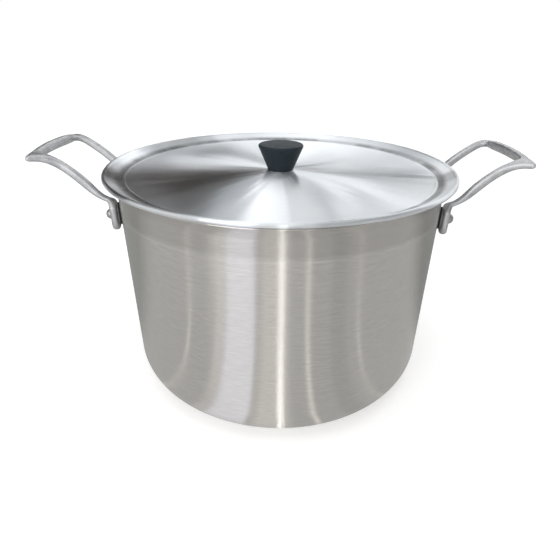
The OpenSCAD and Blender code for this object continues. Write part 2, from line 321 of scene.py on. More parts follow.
def turned_metal(name, dark, light, rough, line_depth, line_stretch, wave_depth):
    """Aluminium with fine grooves that run round the axis, and slight waves across them."""
    g = Graph(name)
    waves = g.bump(g.noise(g.round_axis(1.0), 6, detail=1), wave_depth)
    lines = g.noise(g.round_axis(line_stretch), 1500, detail=2, roughness=0.6)
    cloud = g.noise(g.place, 14, detail=3)
    g.set(Metallic=1.0, Anisotropic=1.0, Roughness=g.span(cloud, 0.3, 0.7, rough[0], rough[1]))
    g.grain_round_axis()
    g.set(Normal=g.bump(lines, line_depth, below=waves) if line_depth else waves)
    return g, g.blend(g.span(lines, 0.3, 0.7, 0, 1), dark, light)


def wall_metal():
    """The brushed wall has a band below the rim darkened with painted shade from the lid, with a faint light
    line at its lower end.
    """
    g, metal = turned_metal(
        "wall_aluminium", (0.59, 0.572, 0.542), (0.68, 0.66, 0.63), (0.20, 0.24), 0.00004, 0.010, 0.00003
    )
    up = g.height()
    # Painted shade of the lid: the wall's colour darkens above the band's lower end
    lid_shade_share = g.span(up, BAND_Z * MM, (BAND_Z + BAND_FADE) * MM, 0, BAND_SHADE)
    off_line = g.math("ABSOLUTE", g.math("SUBTRACT", up, BAND_Z * MM))
    near_line = g.span(off_line, *(w * MM for w in BAND_LINE_FADE), 1, 0)
    patchy = g.span(g.noise(g.place, 18, detail=3), 0.45, 0.65, 0, BAND_LINE_LIGHT)
    metal = g.blend(lid_shade_share, metal, (0.36, 0.345, 0.325))
    g.set(Base_Color=g.blend(g.math("MULTIPLY", near_line, patchy), metal, (0.86, 0.84, 0.81)))
    return g.material


def lid_metal():
    """The spun lid is darkened in its hollow with patchy painted shade."""
    g, metal = turned_metal(
        "lid_aluminium", (0.80, 0.83, 0.86), (0.87, 0.90, 0.93), (0.30, 0.35), 0.0, 0.008, 0.0004
    )
    out = g.off_axis()
    start, end = PANEL_R * MM, (PANEL_R + HOLLOW_W) * MM
    # Painted shade: the lid's colour darkens, patchily, in its hollow
    hollow = g.math(
        "MULTIPLY",
        g.span(out, start, start + HOLLOW_FADES[0] * MM, 0, 1),
        g.span(out, end - HOLLOW_FADES[1] * MM, end, 1, 0),
    )
    patchy = g.span(g.noise(g.place, 25, detail=4), 0.35, 0.65, 0.4, 1.0)
    g.set(Base_Color=g.blend(g.math("MULTIPLY", hollow, patchy), metal, (0.15, 0.15, 0.155)))
    return g.material


def cast_metal():
    """Satin aluminium casting with a fine grain and scattered pits, and painted shade where it meets the
    wall.
    """
    g = Graph("cast_aluminium")
    grain = g.noise(g.place, 900, detail=4, roughness=0.65)
    mottle = g.noise(g.place, 120, detail=4)
    pits = g.pits(g.place, 150)
    hollow = g.span(pits, 0.0, 0.13, 0, 1)
    rare = g.span(g.noise(g.place, 90), 0.56, 0.62, 0, 1)
    open_pits = g.math("SUBTRACT", 1.0, g.math("MULTIPLY", g.math("SUBTRACT", 1.0, hollow), rare))
    metal = g.blend(g.span(mottle, 0.35, 0.65, 0, 1), (0.50, 0.505, 0.52), (0.66, 0.665, 0.68))
    metal = g.blend(open_pits, (0.10, 0.10, 0.10), metal)
    # Painted shade: the casting turns near black and not metallic in the gap against the wall
    wall_gap_shade = g.span(g.off_axis(), *((POT_R + SEAT_T + w) * MM for w in WALL_GAP_SHADE_FADE), 0, 1)
    g.set(Base_Color=g.blend(wall_gap_shade, (0.03, 0.03, 0.03), metal), Metallic=wall_gap_shade, Specular_IOR_Level=0.1)
    g.set(Roughness=g.span(g.math("ADD", grain, mottle), 0.7, 1.3, 0.40, 0.58))
    fine = g.bump(grain, 0.00018)
    g.set(Normal=g.bump(open_pits, 0.0004, below=fine))
    return g.material


def rivet_metal():
    """Plain upset aluminium, a little dented."""
    g = Graph("rivet_aluminium")
    dents = g.noise(g.place, 420, detail=3)
    g.set(Base_Color=g.blend(dents, (0.34, 0.34, 0.345), (0.50, 0.50, 0.505)), Metallic=1.0)
    g.set(Roughness=g.span(dents, 0.3, 0.7, 0.32, 0.48))
    g.set(Normal=g.bump(dents, 0.0003))
    return g.material


def black_phenolic():
    """Moulded black plastic with a soft sheen."""
    g = Graph("phenolic")
    bloom = g.noise(g.place, 160, detail=4)
    skin = g.noise(g.place, 2200, detail=2)
    g.set(Base_Color=g.blend(bloom, (0.026, 0.036, 0.044), (0.038, 0.050, 0.059)), Specular_IOR_Level=0.09)
    g.set(Roughness=g.span(bloom, 0.3, 0.7, 0.32, 0.46), Normal=g.bump(skin, 0.00003))
    return g.material


def small_metal(name, dark, light, rough):
    """A plated or turned small part."""
    g = Graph(name)
    stain = g.noise(g.place, 500, detail=3)
    g.set(Base_Color=g.blend(stain, dark, light), Metallic=1.0)
    g.set(Roughness=g.span(stain, 0.3, 0.7, rough[0], rough[1]))
    return g.material


# Mesh helpers


def mix(a, b, t):
    return a + (b - a) * t


def ease(t):
    """A share from 0 to 1 that starts and ends gently."""
    c = min(max(t, 0.0), 1.0)
    return c * c * (3 - 2 * c)


def shares(steps):
    """Steps from just after 0 up to 1."""
    return [k / steps for k in range(1, steps + 1)]


def arc(mid, radius, start, end, steps):
    """Points on a circle between two angles in degrees."""
    angles = np.radians(np.linspace(start, end, steps + 1))
    return [(mid[0] + radius * math.cos(a), mid[1] + radius * math.sin(a)) for a in angles]


def line(start, end, steps):
    """Points from one end of a line to the other."""
    return [tuple(np.array(start) + (np.array(end) - np.array(start)) * k / steps) for k in range(steps + 1)]


def without_repeats(points):
    """The points without those that lie on the one before."""
    kept = [points[0]]
    for p in points[1:]:
        if math.dist(p, kept[-1]) > TINY:
            kept.append(p)
    return kept


def new_piece(name, points, faces):
    """A smooth-shaded mesh object from points in millimetres."""
    mesh = bpy.data.meshes.new(name)
    mesh.from_pydata([Vector(p) * MM for p in points], [], faces)
    mesh.validate()
    mesh.shade_smooth()
    mesh.set_sharp_from_angle(angle=SHARP_ANGLE)
    piece = bpy.data.objects.new(name, mesh)
    bpy.context.scene.collection.objects.link(piece)
    return piece


def turned_mesh(outline, steps, closed):
    """Points and faces of an outline of (radius, height) turned about Z, and the way along the outline."""
    points, along, rows = [], [], []
    way = 0.0
    for k, (r, z) in enumerate(outline):
        way += math.dist(outline[k - 1], outline[k]) if k else 0.0
        count = 1 if r < TINY else steps
        rows.append([len(points) + i for i in range(count)])
        for i in range(count):
            a = 2 * math.pi * i / steps
            points.append((r * math.cos(a), r * math.sin(a), z))
            along.append(way * MM)
    faces = []
    pairs = list(zip(rows, rows[1:])) + ([(rows[-1], rows[0])] if closed else [])
    for low, high in pairs:
        for i in range(steps):
            j = (i + 1) % steps
            loop = [low[i % len(low)], low[j % len(low)], high[j % len(high)], high[i % len(high)]]
            face = list(dict.fromkeys(loop))
            if len(face) > 2:
                faces.append(face)
    return points, faces, along


def turned_piece(name, outline, steps=TURN_STEPS, closed=False):
    """A turned object that keeps the way along its outline for its grooves."""
    points, faces, along = turned_mesh(without_repeats(outline), steps, closed)
    piece = new_piece(name, points, faces)
    stored = piece.data.attributes.new("along", "FLOAT", "POINT")
    stored.data.foreach_set("value", along)
    return piece


def finish_piece(piece, material, body, slot, *nodes):
    """Gives a piece its material, its body and the nodes that it stands for."""
    piece.data.materials.clear()
    piece.data.materials.append(material)
    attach(piece, body)
    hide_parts(*nodes)


# Pot

POT_INNER_R = POT_R - WALL_T
RIM_R = (WALL_T + RIM_SWELL) / 2
RIM_MID = (POT_R - WALL_T / 2, POT_H - RIM_R)


def pot_outline():
    """Sheet outline: base, wall, rounded rim and back down the inside."""
    inner_corner = BASE_CORNER_R - WALL_T
    rim_turn = math.degrees(math.acos(WALL_T / 2 / RIM_R))
    rim = arc(RIM_MID, RIM_R, -rim_turn, 180 + rim_turn, 24)
    outside = line((0, 0), (POT_R - BASE_CORNER_R, 0), 12)
    outside += arc((POT_R - BASE_CORNER_R, BASE_CORNER_R), BASE_CORNER_R, -90, 0, 40)
    outside += line((POT_R, BASE_CORNER_R), rim[0], 24)
    inside = line(rim[-1], (POT_INNER_R, BASE_T + inner_corner), 24)
    inside += arc((POT_INNER_R - inner_corner, BASE_T + inner_corner), inner_corner, 0, -90, 40)
    inside += line((POT_INNER_R - inner_corner, BASE_T), (0, BASE_T), 12)
    return outside + rim + inside


def add_pot(material):
    pot = turned_piece("pot_shell", pot_outline())
    finish_piece(pot, material, "pot", "wall_aluminium", "pot_body")


# Lid

PANEL_R = POT_INNER_R - PANEL_GAP
REST_REACH = FLANGE_R + LID_T + LID_GAP + RIM_R
FLANGE_MID = np.array((PANEL_R, RIM_MID[1] + math.sqrt(REST_REACH**2 - (RIM_MID[0] - PANEL_R) ** 2)))
FLANGE_UP = np.array((-math.sin(FLANGE_SLOPE), math.cos(FLANGE_SLOPE)))
FLANGE_START = FLANGE_MID - FLANGE_R * FLANGE_UP
BEAD_SINK = BEAD_R - BEAD_PROUD
FLANGE_RUN = POT_R + LID_OVER - BEAD_R + BEAD_SINK * FLANGE_UP[0] - FLANGE_START[0]
FLANGE_END = FLANGE_START + FLANGE_RUN * np.array((1, math.tan(FLANGE_SLOPE)))
BEAD_MID = FLANGE_END - BEAD_SINK * FLANGE_UP
PANEL_EDGE_Z = FLANGE_MID[1] - FLANGE_R
SEAT_TOP_Z = PANEL_EDGE_Z + PANEL_RISE


def lid_outline():
    """Sheet outline: out underneath, rolled edge, flange, hollow curve and panel, with its faces outwards."""
    slope = math.degrees(FLANGE_SLOPE)
    panel = line((SCREW_HOLE_R, SEAT_TOP_Z), (KNOB_FOOT_D / 2 + KNOB_LAND_W, SEAT_TOP_Z), 4)
    panel += line(panel[-1], (PANEL_R - PANEL_LAND_W, PANEL_EDGE_Z), 40)
    mark = PANEL_R - ROLL_MARK_W
    panel += line(panel[-1], (mark, PANEL_EDGE_Z), 4)
    panel += [(r, PANEL_EDGE_Z + ROLL_MARK_H * math.sin(math.pi * (r - mark) / ROLL_MARK_W) ** 2)
              for r in np.linspace(mark, PANEL_R, 9)[1:]]
    roll_start = 90 + slope + math.degrees(math.acos(BEAD_SINK / BEAD_R))
    roll_end = slope - 270 + math.degrees(math.acos((BEAD_SINK - LID_T) / BEAD_R))
    roll = arc(BEAD_MID, BEAD_R, roll_start, roll_end, 36)
    above = panel + arc(FLANGE_MID, FLANGE_R, -90, slope - 90, 20)
    above += line(above[-1], roll[0], 10)
    hollow_below = arc(FLANGE_MID, FLANGE_R + LID_T, slope - 90, -90, 20)
    below = line(roll[-1], hollow_below[0], 10) + hollow_below
    below += [(r, min(z, SEAT_TOP_Z) - LID_T) for r, z in reversed(panel)]
    return list(reversed(above + roll + below))


def add_lid(material):
    lid = turned_piece("lid_shell", lid_outline(), closed=True)
    finish_piece(lid, material, "cover", "lid_aluminium", "lid")


# Knob


def knob_outline():
    """Tapered side, small rounded edge and a shallow dish on top, with the insert's hole below."""
    foot_r = KNOB_FOOT_D / 2
    edge_mid = np.array((KNOB_D / 2 - KNOB_EDGE_R, KNOB_H - KNOB_EDGE_R))
    side = edge_mid - (foot_r, 0)
    side_angle = math.atan2(side[1], side[0]) - math.asin(KNOB_EDGE_R / np.linalg.norm(side))
    dish_r = (edge_mid[0] ** 2 + KNOB_DISH**2) / (2 * KNOB_DISH)
    half_dish = math.degrees(math.asin(edge_mid[0] / dish_r))
    hole = [(0, INSERT_H), (INSERT_R, INSERT_H), (INSERT_R, 0)]
    foot = arc((foot_r - KNOB_FOOT_EDGE_R, KNOB_FOOT_EDGE_R), KNOB_FOOT_EDGE_R, -90, 0, 6)
    flank_end = edge_mid + KNOB_EDGE_R * np.array((math.sin(side_angle), -math.cos(side_angle)))
    flank = line(foot[-1], flank_end, 12)
    edge = arc(edge_mid, KNOB_EDGE_R, math.degrees(side_angle) - 90, 90, 14)
    top = arc((0, KNOB_H - KNOB_DISH + dish_r), dish_r, half_dish - 90, -90, 16)
    return [(r, z + SEAT_TOP_Z) for r, z in hole + foot + flank + edge + top]


def add_knob(material):
    outline = knob_outline()
    outline[-1] = (0, outline[-1][1])
    knob = turned_piece("knob_cap", outline, steps=KNOB_STEPS)
    finish_piece(knob, material, "cover", "phenolic", "knob")


# Handles

ARM_Y = ARM_SPACING / 2
FOOT_MID_R = POT_R + SEAT_T + FOOT_T / 2
FOOT_ANGLE = math.asin(ARM_Y / FOOT_MID_R)
FOOT_X = FOOT_MID_R * math.cos(FOOT_ANGLE)
FOOT_Z = POT_H - FOOT_DROP
BEND_TURN = math.pi / 2 - ARM_ROOT_SLOPE
ROOT_X = FOOT_X + ARM_BEND_R * (1 - math.cos(BEND_TURN))
ROOT_Z = POT_H - ARM_ROOT_DROP
BEND_Z = ROOT_Z - ARM_BEND_R * math.sin(BEND_TURN)
RISE_X = ROOT_X + ARM_RISE_RUN
RISE_Z = ROOT_Z + ARM_RISE_RUN * (math.tan(ARM_ROOT_SLOPE) + math.tan(ARM_RISE_SLOPE)) / 2
EDGE_X = POT_R + HANDLE_REACH
EDGE_Z = POT_H + HANDLE_OVER_RIM
ARCH_RUN = EDGE_X - RISE_X
HOLE_EDGE_X = EDGE_X - GRIP_W
INNER_Y = ARM_Y - ARM_W / 2
OUTER_Y = ARM_Y + ARM_W / 2
TIP_MID = np.array((EDGE_X - TIP_R, OUTER_Y + TIP_OUT - TIP_R))
FLARE_END = TIP_MID + TIP_R * np.array((-math.sin(TIP_ANGLE), math.cos(TIP_ANGLE)))
FLARE_TURN = np.array((FLARE_END[0] - (FLARE_END[1] - OUTER_Y) / math.tan(TIP_ANGLE), OUTER_Y))
FLARE_START = np.array((FLARE_END[0] - TIP_FLARE, OUTER_Y))
BACK_END_Y = INNER_Y - HOLE_CORNER_R
HOLE_TURN = math.pi / 6
SPOT_X = POT_R + SEAT_T + FOOT_T - SPOT_DEPTH


def arm_z(x):
    """Height of the arm's middle: a parabola to its steepest point, then a cubic arch."""
    root, rise, grip = (math.tan(a) for a in (ARM_ROOT_SLOPE, ARM_RISE_SLOPE, GRIP_SLOPE))
    if x < RISE_X:
        u = x - ROOT_X
        return ROOT_Z + u * root + u * u / ARM_RISE_RUN * (rise - root) / 2
    t = (x - RISE_X) / ARCH_RUN
    ends = (1 + t * t * (2 * t - 3)) * RISE_Z + t * t * (3 - 2 * t) * EDGE_Z
    return ends + ARCH_RUN * t * (1 - t) * ((1 - t) * rise - t * grip)


def arm_slope(x):
    """Slope of the arm's middle, as an angle."""
    step = 0.01
    return math.atan((arm_z(x + step) - arm_z(x - step)) / (2 * step))


def section(mid, half_w, half_t):
    """One soft-cornered section, as points round its middle."""
    angles = np.linspace(0, 2 * math.pi, SECTION_STEPS, endpoint=False)
    across, through = (np.sign(v) * np.abs(v) ** (2 / SQUARENESS) for v in (np.cos(angles), np.sin(angles)))
    return np.array(mid) + np.outer(across, half_w) + np.outer(through, half_t)


def foot_section(x, z, lean, share, w, t):
    """A section of the foot or its bend, turned to face the wall by a share of the foot's angle."""
    turn = FOOT_ANGLE * share
    across = w / 2 * np.array((-math.sin(turn), math.cos(turn), 0))
    back = math.cos(lean)
    through = t / 2 * np.array((-back * math.cos(turn), -back * math.sin(turn), math.sin(lean)))
    return section((x, ARM_Y, z), across, through)


def on_frame(p):
    """A point of the loop's plan lifted to the arm's height, with the grip's arch."""
    out = ease((p[0] - FLARE_START[0]) / (HOLE_EDGE_X - FLARE_START[0]))
    return np.array((p[0], p[1], arm_z(p[0]) + GRIP_ARCH * out * (1 - (p[1] / TIP_MID[1]) ** 2)))


def frame_section(hole, outer, t):
    """A section between a point on the finger hole's edge and one on the outer edge."""
    slope = arm_slope((hole[0] + outer[0]) / 2)
    a, b = on_frame(hole), on_frame(outer)
    return section((a + b) / 2, (b - a) / 2, t / 2 * np.array((-math.sin(slope), 0, math.cos(slope))))


def hole_point(turn):
    """A point on the rounded corner of the finger hole."""
    inset = np.array((1 - math.sin(turn), 1 - math.cos(turn)))
    return np.array((HOLE_EDGE_X, INNER_Y)) - HOLE_CORNER_R * inset


def arm_thickness(s):
    if s < ARM_SWELL_AT:
        return mix(ARM_ROOT_T, ARM_T, ease(s / ARM_SWELL_AT))
    return mix(ARM_T, ARM_END_T, ease((s - ARM_SWELL_AT) / (1 - ARM_SWELL_AT)))


def grip_thickness(y):
    return mix(TIP_T, GRIP_T, ease((TIP_MID[1] - y) / (TIP_MID[1] - BACK_END_Y / 2)))


def foot_sections():
    """Rounded lower end, upright foot, and the bend that narrows to the arm."""
    made = []
    for t in shares(20):
        a = math.pi / 2 * t
        h = FOOT_W / 2 * (1 - math.cos(a))
        back = max(1 - 2 * h / FOOT_T, 0)
        thickness = FOOT_T * math.sqrt(1 - back**2)
        made.append(foot_section(FOOT_X, FOOT_Z + h, 0, 1, FOOT_W * math.sin(a), thickness))
    upright = BEND_Z - FOOT_Z - FOOT_W / 2
    for t in shares(10):
        made.append(foot_section(FOOT_X, FOOT_Z + FOOT_W / 2 + upright * t, 0, 1, FOOT_W, FOOT_T))
    for t in shares(24):
        turn, s = BEND_TURN * t, ease(t)
        x = FOOT_X + ARM_BEND_R * (1 - math.cos(turn))
        z = BEND_Z + ARM_BEND_R * math.sin(turn)
        made.append(foot_section(x, z, turn, 1 - s, mix(FOOT_W, ARM_W, s), mix(FOOT_T, ARM_ROOT_T, s)))
    return made


def arm_sections():
    """Arm up to where its outer edge starts to flare."""
    made = []
    for t in shares(32):
        x = mix(ROOT_X, FLARE_START[0], t)
        made.append(frame_section((x, INNER_Y), (x, OUTER_Y), arm_thickness(t)))
    return made


def corner_sections():
    """The outer edge flares out, turns round the tip and comes back along the grip."""
    made = []
    for t in shares(28):
        outer = mix(mix(FLARE_START, FLARE_TURN, t), mix(FLARE_TURN, FLARE_END, t), t)
        late = max(t - FLARE_SHARE, 0) / (1 - FLARE_SHARE)
        straight = mix(np.array((FLARE_START[0], INNER_Y)), hole_point(0), t / FLARE_SHARE)
        hole = hole_point(HOLE_TURN * late) if late > 0 else straight
        made.append(frame_section(hole, outer, mix(ARM_END_T, TIP_T, ease(t))))
    for t in shares(24):
        a = (math.pi / 2 + TIP_ANGLE) * (1 - t)
        tip = TIP_MID + TIP_R * np.array((math.cos(a), math.sin(a)))
        made.append(frame_section(hole_point(HOLE_TURN * (1 + t)), tip, TIP_T))
    for t in shares(16):
        y = mix(TIP_MID[1], BACK_END_Y, t)
        made.append(frame_section(hole_point(HOLE_TURN * (2 + t)), (EDGE_X, y), grip_thickness(y)))
    return made


def grip_sections():
    """Grip bar to its middle."""
    made = []
    for t in shares(24):
        y = BACK_END_Y * (1 - t)
        made.append(frame_section((HOLE_EDGE_X, y), (EDGE_X, y), grip_thickness(y)))
    return made


def loop_mesh():
    """Points and faces of the casting without its seats."""
    half = foot_sections() + arm_sections() + corner_sections() + grip_sections()
    rings = half + [ring * (1, -1, 1) for ring in reversed(half[:-1])]
    points = np.concatenate(rings)
    n = SECTION_STEPS
    faces = []
    for k in range(len(rings) - 1):
        for i in range(n):
            j = (i + 1) % n
            faces.append((k * n + i, (k + 1) * n + i, (k + 1) * n + j, k * n + j))
    last = (len(rings) - 1) * n
    faces.append(tuple(range(n)))
    faces.append(tuple(last + i for i in reversed(range(n))))
    return points, faces


def at_foot(point, side):
    """Turns a point given outwards, sideways and up from a foot's axis into the handle's frame."""
    c, s = math.cos(side * FOOT_ANGLE), math.sin(side * FOOT_ANGLE)
    return (point[0] * c - point[1] * s, point[0] * s + point[1] * c, point[2] + POT_H - RIVET_DROP)


def prism_faces(n):
    """Faces of a prism whose lower and upper ends have the same count of points."""
    sides = [(i, (i + 1) % n, n + (i + 1) % n, n + i) for i in range(n)]
    return sides + [tuple(reversed(range(n))), tuple(range(n, 2 * n))]


def seat_mesh(side):
    """Raised seat on the back of a foot, whose face follows the wall."""
    rise = (SEAT_H - SEAT_W) / 2
    ends = arc((rise, 0), SEAT_W / 2, -90, 90, 20) + arc((-rise, 0), SEAT_W / 2, 90, 270, 20)
    points = [at_foot((math.sqrt(POT_R**2 - u * u), u, z), side) for z, u in ends]
    points += [at_foot((FOOT_MID_R, u, z), side) for z, u in ends]
    return points, prism_faces(len(ends))


def spot_mesh(side):
    """Cutter for the flat under a rivet's dome."""
    ring = arc((0, 0), DOME_R + SPOT_MARGIN, 0, 360, 48)[:-1]
    points = [at_foot((x, u, z), side) for x in (SPOT_X, SPOT_X + FOOT_T) for u, z in ring]
    return points, prism_faces(len(ring))


def combined(piece, operation, tool):
    """Joins or cuts a piece with a helper mesh, which is then removed."""
    step = piece.modifiers.new(operation, "BOOLEAN")
    step.operation = operation
    step.solver = "EXACT"
    step.object = tool
    shape = bpy.data.meshes.new_from_object(piece.evaluated_get(bpy.context.evaluated_depsgraph_get()))
    piece.modifiers.clear()
    piece.data = shape
    bpy.data.objects.remove(tool)


def roughen(mesh):
    """Sinks points along their normals by a mean depth and a smooth noise, as on a casting."""
    mean, vary = CAST_SINK
    moved = []
    for v in mesh.vertices:
        moved.extend(v.co - v.normal * MM * (mean + vary * noise.noise(v.co / MM * CAST_WAVES)))
    mesh.vertices.foreach_set("co", moved)
    mesh.update()


def add_handle(name, mirror, material):
    """One casting: the loop with its two seats, and the flats under its rivets."""
    points, faces = loop_mesh()
    piece = new_piece(name, points, faces)
    for side in (-1, 1):
        combined(piece, "UNION", new_piece("seat", *seat_mesh(side)))
        combined(piece, "DIFFERENCE", new_piece("spot", *spot_mesh(side)))
    if mirror:
        piece.data.transform(Matrix.Scale(-1, 4, Vector((1, 0, 0))))
        piece.data.flip_normals()
    piece.data.shade_smooth()
    piece.data.set_sharp_from_angle(angle=SHARP_ANGLE)
    finish_piece(piece, material, "pot", "cast_aluminium", name.removesuffix("_casting"))
    return piece


# Rivets


def rivet_mesh():
    """A dome, a shank and a low head, turned about the rivet's own axis from its inner to its outer end."""
    dome_ball = (DOME_R**2 + DOME_H**2) / (2 * DOME_H)
    head_ball = (INNER_HEAD_R**2 + INNER_HEAD_H**2) / (2 * INNER_HEAD_H)
    dome_half = math.degrees(math.acos((dome_ball - DOME_H) / dome_ball))
    head_half = math.degrees(math.acos((head_ball - INNER_HEAD_H) / head_ball))
    head = arc((0, POT_INNER_R - INNER_HEAD_H + head_ball), head_ball, -90, head_half - 90, 12)
    dome = arc((0, SPOT_X + DOME_H - dome_ball), dome_ball, 90 - dome_half, 90, 16)
    outline = head + [(RIVET_R, POT_INNER_R), (RIVET_R, SPOT_X)] + dome
    outline[0], outline[-1] = (0, outline[0][1]), (0, outline[-1][1])
    return turned_mesh(outline, RIVET_STEPS, False)[:2]


def add_rivets(name, mirror, material):
    """Both rivets of a handle as one piece."""
    points, faces = rivet_mesh()
    all_points, all_faces = [], []
    for side in (-1, 1):
        start = len(all_points)
        all_points += [at_foot((p[2], p[1], -p[0]), side) for p in points]
        all_faces += [tuple(start + i for i in face) for face in faces]
    if mirror:
        all_points = [(-x, -y, z) for x, y, z in all_points]
    piece = new_piece(name + "_set", all_points, all_faces)
    finish_piece(piece, material, "pot", "rivet_aluminium", name)


# Stage


def shown_rays(tree):
    """One for rays from the camera, a mirror or glass, and zero for those that light a surface."""
    rays = tree.nodes.new("ShaderNodeLightPath")
    shown = rays.outputs["Is Camera Ray"]
    for kind in ("Is Glossy Ray", "Is Transmission Ray"):
        either = tree.nodes.new("ShaderNodeMath")
        either.operation = "MAXIMUM"
        tree.links.new(shown, either.inputs[0])
        tree.links.new(rays.outputs[kind], either.inputs[1])
        shown = either.outputs[0]
    return shown


def add_floor():
    """A wide pale floor that looks white out of the pot's shadow."""
    g = Graph("floor")
    tint = g.noise(g.place, 0.6, detail=2)
    g.set(Base_Color=g.blend(tint, (0.96, 0.96, 0.96), (0.98, 0.98, 0.98)))
    g.set(Roughness=0.9, Specular_IOR_Level=0.0)
    lift = g.span(g.off_axis(), *FLOOR_LIFT_R, *FLOOR_LIFT)
    g.set(Emission_Color=(1, 1, 1, 1), Emission_Strength=g.math("MULTIPLY", shown_rays(g.tree), lift))
    g.material.cycles.emission_sampling = "NONE"
    ring = arc((0, 0), FLOOR_R, 0, 360, FLOOR_STEPS)[:-1]
    floor = new_piece("floor", [(x, y, FLOOR_Z) for x, y in ring], [tuple(range(FLOOR_STEPS))])
    floor.data.materials.append(g.material)


def add_card(name, azimuth, elevation, shade, soft):
    """A soft-edged card that spans two azimuths and two elevations, seen from the lid.

    Azimuths run from the camera's side round to the right.
    """

    def place(u, v):
        a, e = math.radians(mix(*azimuth, u)), math.radians(mix(*elevation, v))
        level = CARD_DISTANCE * math.cos(e)
        return level * math.sin(a), -level * math.cos(a), POT_H + CARD_DISTANCE * math.sin(e)

    add_reflected(name, place, shade, soft)


def add_fan_card(name, turn, tilt, radius, shade, soft, distance=FAN_DISTANCE):
    """A soft-edged card bent to what a sector of the lid mirrors into the camera.

    The sector lies between two turns about the axis, in degrees. Its grooves tilt light between two slopes.
    """
    eye = Vector(CAMERA_AT) / MM

    def place(u, v):
        a = math.radians(mix(*turn, u))
        outwards = Vector((math.cos(a), math.sin(a), 0))
        spot = outwards * radius + Vector((0, 0, SEAT_TOP_Z))
        facet = (Vector((0, 0, 1)) - outwards * mix(*tilt, v)).normalized()
        return spot + (spot - eye).normalized().reflect(facet) * distance

    add_reflected(name, place, shade, soft)


def add_wall_card(name, side, shade, soft, distance=FAN_DISTANCE):
    """A soft-edged card bent to what an upright strip of the wall mirrors into the camera.

    The strip lies between two angles from the camera's side round to the right. The card runs out over the
    floor and then up.
    """
    eye = Vector(CAMERA_AT) / MM

    def place(u, v):
        a = math.radians(mix(*side, u))
        normal = Vector((math.sin(a), -math.cos(a), 0))
        spot = normal * POT_R + Vector((0, 0, POT_H / 2))
        facet = (normal + Vector((0, 0, mix(*WALL_TILTS, v)))).normalized()
        away = (spot - eye).normalized().reflect(facet)
        reach = min(distance, (MAT_Z + STRIP_LIFT - spot.z) / min(away.z, -TINY))
        return spot + away * reach

    add_reflected(name, place, shade, soft)


def add_mat(name, azimuth, reach, shade, soft):
    """A mat on the floor round the pot, whose inner edge isn't soft. A shorter mat lies on a longer one."""

    def place(u, v):
        a, r = math.radians(mix(*azimuth, u)), mix(MAT_INNER_R, reach, v)
        return r * math.sin(a), -r * math.cos(a), MAT_Z + MAT_LIFT / reach

    add_reflected(name, place, shade, soft, soft_start=False)


def add_reflected(name, place, shade, soft, soft_start=True):
    """A glowing sheet that only shows in reflections.

    It is a square net, whose points are placed by the two shares of the way across it.
    """
    points, edges = [], []
    for v in CARD_SHARES:
        for u in CARD_SHARES:
            points.append(place(u, v))
            inset = min(v, 1 - v) if soft_start else 1 - v
            edges.append(ease(min(u, 1 - u) / soft[0]) * ease(inset / soft[1]))
    g = Graph(name)
    edge = g.node("ShaderNodeAttribute", attribute_name="edge")
    g.set(Base_Color=(0, 0, 0, 1), Roughness=1.0, Specular_IOR_Level=0.0, Alpha=edge.outputs["Fac"])
    g.set(Emission_Color=(*shade, 1), Emission_Strength=1.0)
    g.material.cycles.emission_sampling = "NONE"
    n = len(CARD_SHARES)
    cells = [(k * n + i, k * n + i + 1) for k in range(n - 1) for i in range(n - 1)]
    card = new_piece(name, points, [(i, j, j + n, i + n) for i, j in cells])
    stored = card.data.attributes.new("edge", "FLOAT", "POINT")
    stored.data.foreach_set("value", edges)
    card.data.materials.append(g.material)
    card.visible_camera = False
    card.visible_diffuse = False
    card.visible_shadow = False


def add_softbox(name, azimuth, elevation, width, height, radiance, mirrored):
    """A rectangular lamp that faces the pot, at an azimuth from the camera's side round to the right."""
    a, e = math.radians(azimuth), math.radians(elevation)
    away = Vector((math.sin(a) * math.cos(e), -math.cos(a) * math.cos(e), math.sin(e)))
    data = bpy.data.lights.new(name, "AREA")
    data.shape = "RECTANGLE"
    data.size, data.size_y = width, height
    data.energy = radiance * math.pi * width * height
    lamp = bpy.data.objects.new(name, data)
    lamp.location = away * LAMP_DISTANCE + Vector((0, 0, POT_H * MM / 2))
    lamp.rotation_mode = "QUATERNION"
    lamp.rotation_quaternion = (-away).to_track_quat("-Z", "Y")
    lamp.visible_glossy = mirrored
    bpy.context.scene.collection.objects.link(lamp)


def add_world():
    """A white surround, dimmer as a light than it looks to the camera and in reflections."""
    world = bpy.data.worlds.new("studio")
    world.use_nodes = True
    tree = world.node_tree
    surround = tree.nodes["Background"]
    surround.inputs["Color"].default_value = (1, 1, 1, 1)
    level = tree.nodes.new("ShaderNodeMapRange")
    level.inputs["To Min"].default_value = WORLD_LIGHT
    tree.links.new(shown_rays(tree), level.inputs["Value"])
    tree.links.new(level.outputs["Result"], surround.inputs["Strength"])
    world.cycles.sampling_method = "NONE"
    bpy.context.scene.world = world


